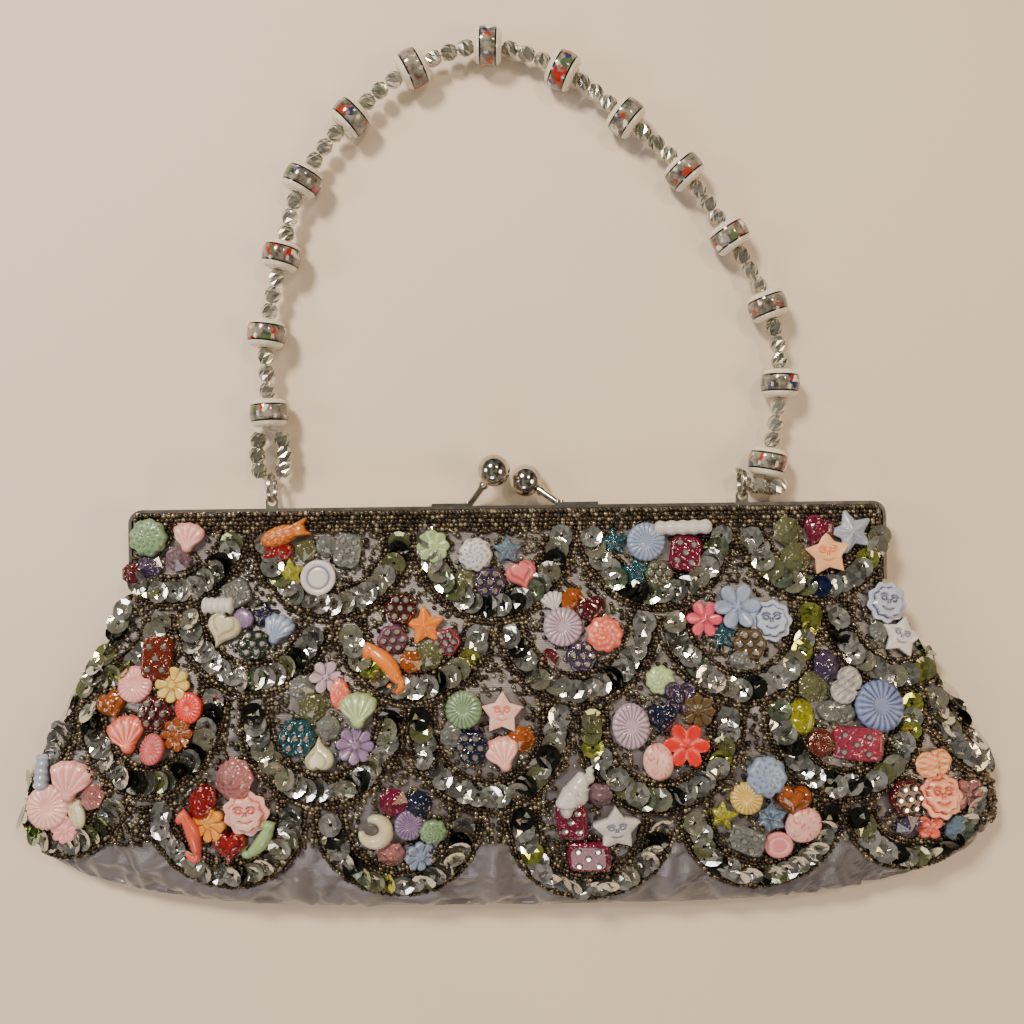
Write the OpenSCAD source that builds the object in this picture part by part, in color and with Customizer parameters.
// Beaded evening bag with a kiss-lock frame and a string-of-beads handle, lying on its back.
// +X runs along the frame, +Y from the base towards the handle, +Z up from the table.
// The origin is on the table, under the middle of the pouch.

/* [Pouch] */
// Height of the pouch from its base to the frame
pouch_h = 112.8; // [100:0.1:125]
// Half width of the pouch at its widest, near the base
pouch_half_w = 137; // [130:1:145]
// Thickness of the outer fabric with its beadwork backing
panel_t = 1.6; // [1.2:0.1:2.2]
// Thickness of the lining
lining_t = 0.6; // [0.4:0.1:0.8]

/* [Frame] */
// Length of the frame
frame_w = 215; // [200:1:220]
// Distance from the hinge axis to the top of the frame
arm_len = 26.9; // [24:0.1:30]
// Depth of each frame half
frame_depth = 5.5; // [5:0.1:6]
// Thickness of the frame's walls
frame_t = 0.9; // [0.7:0.1:1]
// Width of the flange that the fabric is glued to
flange_w = 7; // [5:0.5:9]
// Outer radius of the frame's corners
corner_r = 4; // [3:0.5:6]

/* [Kiss lock] */
// Radius of each clasp ball
ball_r = 4.65; // [4:0.05:4.65]
// Radius of each clasp stem
stem_r = 1; // [0.8:0.1:1.2]

/* [Handle] */
// Number of glass beads on the handle
bead_count = 14; // [14:1:14]
// Radius of a glass bead
bead_r = 5.7; // [5.2:0.1:5.7]
// Length of a glass bead along the string
bead_l = 8; // [7.5:0.1:8.2]
// Radius of a facetted spacer bead
spacer_r = 2.4; // [2:0.1:2.4]
// Length of a facetted spacer bead
spacer_l = 4.4; // [4.2:0.1:4.5]
// Radius of the string
string_r = 0.35; // [0.3:0.05:0.35]
// Distance of each strap lug from the middle of the frame
lug_x = 68; // [68:1:68]

/* [Hidden] */
$fn = 64;
gap = 0.1;

// The pouch's own Y starts at its base, and the part's origin is under the middle of it.
y_shift = -57;

parting_z = 6;
frame_top = 113.9;
hinge_y = frame_top - arm_len;
front_z0 = parting_z + gap;
front_z1 = front_z0 + frame_depth;
back_z1 = parting_z - gap;
back_z0 = back_z1 - frame_depth;

ear_r = 3.4;
ear_gap = 0.2;
rivet_r = 1.1;
rivet_head_r = 2.1;
rivet_head_t = 0.6;

// The front panel is sewn as one piece, and folds between these two heights when the frame opens.
fold_low = 78;
fold_high = hinge_y + 1;
seam = 0.3;

ring_r = 4.1;
ring_wire = 0.35;
ring_z = 5.8;
lug_z = 5.5;
lug_hole_r = 1.2;
lug_r = 1.8;
lug_t = 0.8;
lug_y = frame_top + 1.9;
ring_y = lug_y + ring_r;
loop_y = ring_y + 2.4;

back_ball = [-3.6, frame_top + 10, 10.2];
front_ball = [5.45, frame_top + 7.2, 4.9];
back_foot = [-11, frame_top + 0.4, 3.2];
front_foot = [15, frame_top + 0.4, 8.9];
foot_l = 12;
foot_w = 3.2;
foot_t = 0.8;

bead_bore_r = 1.4;
spacer_bore_r = 1.1;
string_z = 5.8;
spacers_per_gap = 3;

pad = function (n) n < 10 ? str("0", n) : str(n);

// ---- Pouch surfaces ----
// Each profile gives a value at a share of the pouch's height, from 0 at the base to 1 at the frame.
outline = [[0, 124.5], [0.05, 131.5], [0.1, 135], [0.17, 137], [0.26, 135.6], [0.36, 131.6], [0.47, 125.2],
           [0.57, 119.2], [0.67, 114], [0.73, 110.6], [0.79, 106.3], [1, 106.1]];
front_middle = [[0, 9], [0.04, 13], [0.1, 17], [0.18, 20.2], [0.28, 22], [0.4, 22.2], [0.55, 20.2], [0.7, 16.4],
                [0.8, 13.8], [0.9, 12], [1, 11.3]];
front_edge = [[0, 8.5], [0.3, 9.5], [0.7, 10], [0.8, 11.5], [1, 11.3]];
back_middle = [[0, 4.5], [0.04, 2], [0.1, 0.4], [0.16, 0], [0.9, 0], [1, 0.4]];
back_edge = [[0, 4.5], [0.3, 3.6], [0.7, 2], [0.8, 0.4], [1, 0.4]];

function half_w(v) = lookup(v, outline) * pouch_half_w / 137;
function fullness(u) = pow(1 - pow(abs(u), 4), 0.8);
// How much of the back lies flat: all of it out to this share of its half width.
flat_share = 0.6;
function back_edge_share(u) = pow(max(0, (abs(u) - flat_share) / (1 - flat_share)), 2);
function corner_lift(u, v) = 11 * pow(abs(u), 4) * pow(1 - v, 3);
function pouch_x(u, v) = u * half_w(v);
function pouch_y(u, v) = v * pouch_h + corner_lift(u, v);
function mix(a, b, t) = a + (b - a) * t;
function front_z(u, v) = mix(lookup(v, front_edge), lookup(v, front_middle), fullness(u));
function back_z(u, v) = mix(lookup(v, back_middle), lookup(v, back_edge), back_edge_share(u));
function share_of(y) = y / pouch_h;

// Joins a grid of bottom points and a grid of top points, nu by nv, into one closed slab.
module slab(low, high, nu, nv) {
    function at(i, j) = j * nu + i;
    n = nu * nv;
    bottom = [for (j = [0:nv - 2], i = [0:nu - 2], k = [0, 1])
        k == 0 ? [at(i, j), at(i, j + 1), at(i + 1, j + 1)] : [at(i, j), at(i + 1, j + 1), at(i + 1, j)]];
    top = [for (f = bottom) [f[2] + n, f[1] + n, f[0] + n]];
    rim = concat([for (i = [0:nu - 2]) [at(i, 0), at(i + 1, 0)]],
                 [for (j = [0:nv - 2]) [at(nu - 1, j), at(nu - 1, j + 1)]],
                 [for (i = [nu - 1:-1:1]) [at(i, nv - 1), at(i - 1, nv - 1)]],
                 [for (j = [nv - 1:-1:1]) [at(0, j), at(0, j - 1)]]);
    sides = [for (e = rim, k = [0, 1])
        k == 0 ? [e[0], e[1], e[1] + n] : [e[0], e[1] + n, e[0] + n]];
    polyhedron(points = concat(low, high), faces = concat(bottom, top, sides), convexity = 6);
}

// A stretch of the pouch's front or back wall between two shares of its height.
// depth is how far inside the outer surface the wall starts, and t how thick it is.
module wall(is_front, v0, v1, depth, t, inset = 0, nu = 25, nv = 12) {
    us = [for (i = [0:nu - 1]) -1 + 2 * i / (nu - 1)];
    vs = [for (j = [0:nv - 1]) v0 + (v1 - v0) * j / (nv - 1)];
    function skin(u, v) = is_front ? front_z(u, v) - depth : back_z(u, v) + depth + t;
    function across(u, v) = u * (half_w(v) - inset);
    low = [for (v = vs, u = us) [across(u, v), pouch_y(u, v), skin(u, v) - t]];
    high = [for (v = vs, u = us) [across(u, v), pouch_y(u, v), skin(u, v)]];
    slab(low, high, nu, nv);
}

module back_panel() {
    color([0.62, 0.61, 0.62]) wall(false, 0, share_of(pouch_h - 0.2), 0, panel_t, nv = 22);
}

module front_panel_lower() {
    color([0.62, 0.61, 0.62]) wall(true, 0, share_of(fold_low), 0, panel_t, nv = 18);
}

module front_fold() {
    color([0.55, 0.54, 0.55])
        wall(true, share_of(fold_low + seam), share_of(fold_high - seam), 0, panel_t, nv = 5);
}

module front_panel_upper() {
    color([0.62, 0.61, 0.62])
        wall(true, share_of(fold_high), share_of(pouch_h - 0.2), 0, panel_t, nv = 7);
}

module lining_back_flap() {
    color([0.75, 0.74, 0.78])
        wall(false, share_of(fold_high), share_of(pouch_h - 1), panel_t + seam, lining_t, inset = 3.4, nv = 5);
}

module lining_front_flap() {
    color([0.75, 0.74, 0.78])
        wall(true, share_of(fold_high), share_of(pouch_h - 1), panel_t + seam, lining_t, inset = 3.4, nv = 5);
}

// The strip that joins the two panels round the sides and the base.
gusset_top = share_of(81);
gusset_side = [for (j = [0:14]) gusset_top * (1 - j / 14)];
gusset_path = concat(
    [for (v = gusset_side) [-1, v]],
    [for (i = [1:23]) [-1 + 2 * i / 24, 0]],
    [for (j = [14:-1:0]) [1, gusset_side[j]]]);

module base_gusset() {
    pts = [for (p = gusset_path) [pouch_x(p[0], p[1]), pouch_y(p[0], p[1])]];
    n = len(pts);
    function along(i) = pts[min(i + 1, n - 1)] - pts[max(i - 1, 0)];
    function outward(i) = let (d = along(i)) [d[1], -d[0]] / norm(d) * -1;
    function lift(i, z) = let (p = gusset_path[i]) z == 0 ? back_z(p[0], p[1]) : front_z(p[0], p[1]);
    // Each ring has a bulging outer side and a straight inner one.
    bulge = [[0.1, 0], [panel_t, 0.12], [panel_t + 0.9, 0.5], [panel_t, 0.88], [0.1, 1]];
    m = len(bulge);
    function point(i, k) =
        let (q = pts[i] - outward(i) * bulge[k][0], lo = lift(i, 0), hi = lift(i, 1))
        [q[0], q[1], lo + (hi - lo) * bulge[k][1]];
    ring_pts = [for (i = [0:n - 1], k = [0:m - 1]) point(i, k)];
    sides = [for (i = [0:n - 2], k = [0:m - 1], h = [0, 1])
        let (a = i * m + k, b = i * m + (k + 1) % m, c = a + m, d = b + m)
        h == 0 ? [a, b, d] : [a, d, c]];
    ends = concat([for (k = [1:m - 2]) [0, k + 1, k]],
                  [for (k = [1:m - 2]) let (e = (n - 1) * m) [e, e + k, e + k + 1]]);
    color([0.72, 0.71, 0.76]) polyhedron(points = ring_pts, faces = concat(sides, ends), convexity = 8);
}

// The lining below the hinge: a thin bag with an open top, one loop of points at each height.
module lining_pouch() {
    nu = 21;
    vs = [for (j = [0:10]) 0.03 + (share_of(fold_low) - 0.03) * j / 10];
    depth = panel_t + seam;
    function loop(v, inset, d) = concat(
        [for (i = [0:nu - 1]) let (u = -1 + 2 * i / (nu - 1))
            [u * (half_w(v) - inset), pouch_y(u, v), back_z(u, v) + d]],
        [for (i = [nu - 1:-1:0]) let (u = -1 + 2 * i / (nu - 1))
            [u * (half_w(v) - inset), pouch_y(u, v), front_z(u, v) - d]]);
    m = 2 * nu;
    rows = len(vs);
    // The inner bag starts a lining's thickness above the outer one.
    inner_vs = [for (j = [0:rows - 1]) j == 0 ? vs[0] + share_of(lining_t) : vs[j]];
    outer = [for (v = vs, p = loop(v, 1.2, depth)) p];
    inner = [for (v = inner_vs, p = loop(v, 1.2 + lining_t, depth + lining_t)) p];
    n = len(outer);
    function quads(base, flip) = [for (j = [0:rows - 2], k = [0:m - 1], h = [0, 1])
        let (a = base + j * m + k, b = base + j * m + (k + 1) % m, c = a + m, d = b + m)
        flip ? (h == 0 ? [a, d, b] : [a, c, d]) : (h == 0 ? [a, b, d] : [a, d, c])];
    function cap(base, flip) = [for (i = [0:nu - 2], h = [0, 1])
        let (a = base + i, b = base + i + 1, c = base + m - 1 - i, d = base + m - 2 - i)
        flip ? (h == 0 ? [a, b, d] : [a, d, c]) : (h == 0 ? [a, d, b] : [a, c, d])];
    last = (rows - 1) * m;
    mouth = [for (k = [0:m - 1], h = [0, 1])
        let (a = last + k, b = last + (k + 1) % m)
        h == 0 ? [a, b, b + n] : [a, b + n, a + n]];
    turned = [for (f = mouth) [f[2], f[1], f[0]]];
    faces = concat(quads(0, true), quads(n, false), cap(0, true), cap(n, false), turned);
    color([0.75, 0.74, 0.78]) polyhedron(points = concat(outer, inner), faces = faces, convexity = 8);
}

// ---- Frame ----
// The area inside a frame of half width w that ends at y = top, with two round upper corners.
module frame_area(w, top, r, low) {
    translate([-w, low]) square([2 * w, top - r - low]);
    translate([-w + r, low]) square([2 * (w - r), top - low]);
    for (s = [-1, 1]) translate([s * (w - r), top - r]) circle(r = r);
}

module frame_outline(low, t) {
    difference() {
        frame_area(frame_w / 2, frame_top, corner_r, low);
        frame_area(frame_w / 2 - t, frame_top - t, max(corner_r - t, 0.6), low - 1);
    }
}

module both_sides() {
    children();
    mirror([1, 0, 0]) children();
}

// A round ear on the hinge axis, from x0 outwards, with its rivet hole.
module ear(x0, hole_r) {
    translate([x0, hinge_y, parting_z]) rotate([0, 90, 0]) difference() {
        cylinder(r = ear_r, h = frame_t);
        translate([0, 0, -1]) cylinder(r = hole_r, h = frame_t + 2);
    }
}

outer_ear_x = frame_w / 2 - frame_t;
inner_ear_x = outer_ear_x - frame_t - ear_gap;
clear_of_ear = ear_r + 1.2;

module back_frame() {
    color([0.72, 0.71, 0.69]) {
        translate([0, 0, back_z0]) linear_extrude(frame_depth) frame_outline(hinge_y + 3, frame_t);
        translate([0, 0, back_z1 - frame_t]) linear_extrude(frame_t)
            frame_outline(hinge_y + clear_of_ear + 1, flange_w);
        both_sides() ear(outer_ear_x, rivet_r + 0.02);
    }
}

module front_frame() {
    joggle_y = hinge_y + clear_of_ear;
    color([0.76, 0.75, 0.73]) {
        translate([0, 0, front_z0]) linear_extrude(frame_depth) frame_outline(joggle_y, frame_t);
        translate([0, 0, front_z0]) linear_extrude(frame_t) frame_outline(joggle_y + 1, flange_w);
        both_sides() {
            ear(inner_ear_x, rivet_r + 0.05);
            translate([inner_ear_x, joggle_y, front_z0]) cube([2 * frame_t + ear_gap, 1.6, ear_r - 0.2]);
            translate([inner_ear_x, hinge_y + 2.4, front_z0]) cube([frame_t, clear_of_ear - 1.4, ear_r - 0.6]);
        }
    }
}

module hinge_rivet() {
    length = frame_w / 2 - inner_ear_x + rivet_head_t + gap;
    color([0.68, 0.67, 0.65])
        translate([inner_ear_x - rivet_head_t - gap, hinge_y, parting_z]) rotate([0, 90, 0]) {
            cylinder(r = rivet_r, h = length + rivet_head_t);
            cylinder(r = rivet_head_r, h = rivet_head_t);
            translate([0, 0, length]) cylinder(r = rivet_head_r, h = rivet_head_t);
        }
}

// ---- Kiss lock ----
// Turns +Z towards d and moves it to p.
module aimed(p, d) {
    translate(p) rotate([0, acos(d[2] / norm(d)), atan2(d[1], d[0])]) children();
}

spigot_r = 0.8;
spigot_l = 2;

module clasp_stem(foot, ball, side) {
    d = ball - foot;
    reach = norm(d) - ball_r;
    color([0.7, 0.69, 0.66]) {
        translate([side > 0 ? foot[0] - 1 : foot[0] - foot_l + 1, frame_top, foot[2] - foot_w / 2])
            cube([foot_l, foot_t, foot_w]);
        translate([foot[0], frame_top + foot_t / 2, foot[2]]) rotate([-90, 0, 0])
            cylinder(r = stem_r + 0.3, h = 1);
        intersection() {
            aimed(foot, d) cylinder(r = stem_r, h = reach);
            translate([-50, frame_top, -50]) cube([100, 50, 100]);
        }
        aimed(foot, d) translate([0, 0, reach - 1.6]) cylinder(r = stem_r + 0.5, h = 0.9);
        aimed(foot, d) translate([0, 0, reach - 0.5]) cylinder(r = spigot_r, h = 0.5 + spigot_l);
    }
}

module clasp_ball(foot, ball) {
    d = ball - foot;
    color([0.8, 0.79, 0.76]) difference() {
        translate(ball) sphere(r = ball_r);
        aimed(ball, -d) translate([0, 0, ball_r - spigot_l - 0.2]) cylinder(r = spigot_r + 0.05, h = spigot_l + 2);
        // Seats the shoulder of the stem.
        aimed(ball, -d) translate([0, 0, ball_r - 0.25]) cylinder(r = stem_r + 0.1, h = 2);
    }
}

// ---- Lugs and rings ----
module strap_lug() {
    color([0.85, 0.84, 0.8]) translate([lug_x, 0, lug_z - lug_t / 2]) difference() {
        intersection() {
            union() {
                translate([0, lug_y]) cylinder(r = lug_r, h = lug_t);
                translate([-lug_r, frame_top]) cube([2 * lug_r, lug_y - frame_top, lug_t]);
            }
            translate([-5, frame_top, -1]) cube([10, 10, 5]);
        }
        translate([0, lug_y, -1]) cylinder(r = lug_hole_r, h = lug_t + 2);
    }
}

// A double-turn split ring round the lug, free to slide round through its hole.
module split_ring() {
    color([0.66, 0.65, 0.62]) translate([lug_x, ring_y, ring_z]) rotate([0, 90, 0]) rotate_extrude()
        translate([ring_r, 0]) {
            square([2 * ring_wire, 2 * ring_wire], center = true);
            for (s = [-1, 1]) translate([0, s * ring_wire]) circle(r = ring_wire);
        }
}

// ---- Handle ----
// The string's route between the two end glass beads, lying on the table.
route = [
    [-68.5, 141.5, string_z], [-69, 163.5, string_z], [-64.5, 186, string_z], [-58, 208.5, string_z],
    [-44, 226.5, string_z], [-26, 240.5, string_z], [-4.5, 247, string_z], [17, 240, string_z],
    [35.5, 226, string_z], [52, 210.5, string_z], [65, 191.5, string_z], [76, 171, string_z],
    [79.5, 149, string_z], [75.5, 125.5, string_z]];
// The right loop lies bunched under the last glass bead: one side near the table, the other above it.
right_low = [
    [68, 122.3, 5.8], [69.4, 121.4, 4.6], [71, 119.6, 3.6], [73.2, 118.4, 3.1], [75.6, 118.2, 3.1],
    [78, 118.3, 3.1], [79.5, 118.9, 3.6], [79.6, 120, 4.8], [77.8, 120.5, 5.4]];
right_high = [
    [68, 122.3, 5.8], [66.6, 123, 6.4], [66.2, 123.8, 8], [67, 123.8, 9.4], [68.4, 123, 9.9],
    [69.8, 121.2, 9.6], [71.2, 119.4, 8.9], [73.2, 118.3, 8.5], [75.6, 118.2, 8.5], [78.4, 118.2, 8.5],
    [80, 118.8, 8], [80.2, 120, 6.8], [78, 120.5, 6.2]];
steps = 8;

function spline(p, i, t) =
    let (n = len(p), a = p[max(i - 1, 0)], b = p[i], c = p[min(i + 1, n - 1)], d = p[min(i + 2, n - 1)])
    0.5 * ((2 * b) + (c - a) * t + (2 * a - 5 * b + 4 * c - d) * t * t + (3 * b - a - 3 * c + d) * t * t * t);
function smooth(p) = concat([for (i = [0:len(p) - 2], k = [0:steps - 1]) spline(p, i, k / steps)], [p[len(p) - 1]]);
function step_l(p, i) = i < len(p) - 1 ? norm(p[i + 1] - p[i]) : 0;
function lengths(p) = [for (i = 0, s = 0; i < len(p); s = s + step_l(p, i), i = i + 1) s];
// The point a length s along path p, where at holds the length up to each of its points.
function on_path(p, at, s) = [for (k = [0:2]) lookup(s, [for (i = [0:len(p) - 1]) [at[i], p[i][k]]])];

strand = smooth(route);
strand_at = lengths(strand);
strand_l = strand_at[len(strand_at) - 1];
bead_pitch = strand_l / (bead_count - 1);
spacer_pitch = (bead_pitch - bead_l) / spacers_per_gap;

function point_at(s) = on_path(strand, strand_at, s);
function heading(s) = point_at(min(s + 1.5, strand_l)) - point_at(max(s - 1.5, 0));
// The point just past a glass bead's face, where a loop's two strings part.
string_clear = 1;
function past_bead(s, way) = point_at(s) + way * heading(s) / norm(heading(s)) * (bead_l / 2 + string_clear);

// The left loop lies open: its two sides part at the split ring and meet at the first glass bead.
left_loop = [[-lug_x, loop_y, ring_z], past_bead(0, -1)];
left_w = 3.9;
function loop_point(t, side) =
    let (d = left_loop[1] - left_loop[0], across = [d[1], -d[0], 0] / norm([d[0], d[1]]))
    left_loop[0] + d * (1 - cos(180 * t)) / 2 + across * side * left_w * sqrt(max(sin(180 * t), 0));
function loop_side(side, stop = 1, n = 10) = [for (k = [0:n]) loop_point(stop * k / n, side)];

function meeting(p) = smooth(concat(p, [past_bead(strand_l, 1)]));

// Where the loops' small beads sit, as lengths along each side from the split ring.
left_beads_at = [5, 9.4, 13.8];
right_low_beads_at = [5.6, 10.9];
right_high_beads_at = [13.2, 18.2];

module tube(path, r, sides = 8) {
    n = len(path);
    function dir(i) = let (d = path[min(i + 1, n - 1)] - path[max(i - 1, 0)]) d / norm(d);
    function side_of(i) = let (c = cross([0, 0, 1], dir(i))) c / norm(c);
    pts = [for (i = [0:n - 1], k = [0:sides - 1])
        let (s = side_of(i), u = cross(dir(i), s), a = 360 * k / sides)
        path[i] + r * (cos(a) * s + sin(a) * u)];
    walls = [for (i = [0:n - 2], k = [0:sides - 1], h = [0, 1])
        let (a = i * sides + k, b = i * sides + (k + 1) % sides, c = a + sides, d = b + sides)
        h == 0 ? [a, d, b] : [a, c, d]];
    caps = concat([for (k = [1:sides - 2]) [0, k, k + 1]],
                  [for (k = [1:sides - 2]) let (e = (n - 1) * sides) [e, e + k + 1, e + k]]);
    polyhedron(points = pts, faces = concat(walls, caps), convexity = 10);
}

function reversed(p) = [for (i = [len(p) - 1:-1:0]) p[i]];
function every(p, k) = [for (i = [0:k:len(p) - 1]) p[i]];

string_path = concat(
    loop_side(1),
    [for (i = [0:2:len(strand) - 1]) strand[i]],
    reversed(every(meeting(right_low), 2)));

module handle_string() {
    color([0.85, 0.85, 0.85]) tube(string_path, string_r);
}

// The other half of each end loop: the string's tail, which runs back beside the main string into the glass bead.
module string_loop(path) {
    color([0.85, 0.85, 0.85]) tube(path, string_r);
}

module glass_bead(i) {
    s = bead_pitch * (i - 1);
    face_r = 3.4;
    arc = [for (a = [-90:7.5:90]) [face_r + (bead_r - face_r) * pow(cos(a), 0.8), bead_l / 2 * sin(a)]];
    color([0.75, 0.72, 0.68]) aimed(point_at(s), heading(s)) rotate_extrude()
        polygon(concat([[bead_bore_r, -bead_l / 2]], arc, [[bead_bore_r, bead_l / 2]]));
}

module spacer_bead(p, d) {
    end_r = spacer_r * 0.62;
    belt = spacer_l * 0.2;
    aimed(p, d) rotate_extrude() polygon([
        [spacer_bore_r, -spacer_l / 2], [end_r, -spacer_l / 2], [spacer_r, -belt],
        [spacer_r, belt], [end_r, spacer_l / 2], [spacer_bore_r, spacer_l / 2]]);
}

module spacer_beads(i) {
    color([0.7, 0.71, 0.68]) for (k = [0:spacers_per_gap - 1]) {
        s = bead_pitch * (i - 1) + bead_l / 2 + spacer_pitch * (k + 0.5);
        spacer_bead(point_at(s), heading(s));
    }
}

module loop_beads(path, beads_at) {
    at = lengths(path);
    color([0.7, 0.71, 0.68]) for (s = beads_at)
        spacer_bead(on_path(path, at, s), on_path(path, at, s + 1.2) - on_path(path, at, s - 1.2));
}

module placed() {
    translate([0, y_shift, 0]) children();
}

placed() {
    back_frame();
    front_frame();
    mirror([1, 0, 0]) hinge_rivet();  // hinge_rivet_left
    hinge_rivet();  // hinge_rivet_right
    clasp_stem(back_foot, back_ball, -1);  // back_clasp_stem
    clasp_ball(back_foot, back_ball);  // back_clasp_ball
    clasp_stem(front_foot, front_ball, 1);  // front_clasp_stem
    clasp_ball(front_foot, front_ball);  // front_clasp_ball
    mirror([1, 0, 0]) strap_lug();  // strap_lug_left
    strap_lug();  // strap_lug_right
    mirror([1, 0, 0]) split_ring();  // split_ring_left
    split_ring();  // split_ring_right
    back_panel();
    front_panel_upper();
    front_fold();
    front_panel_lower();
    base_gusset();
    lining_pouch();
    lining_back_flap();
    lining_front_flap();
    handle_string();
    string_loop(loop_side(-1, 0.94));  // string_loop_left
    string_loop(every(meeting(right_high), 2));  // string_loop_right
    for (side = [-1, 1]) loop_beads(loop_side(side, n = 24), left_beads_at);  // loop_beads_left
    union() {  // loop_beads_right
        loop_beads(meeting(right_low), right_low_beads_at);
        loop_beads(meeting(right_high), right_high_beads_at);
    }
    for (i = [1:bead_count]) glass_bead(i);
    for (i = [1:bead_count - 1]) spacer_beads(i);
}
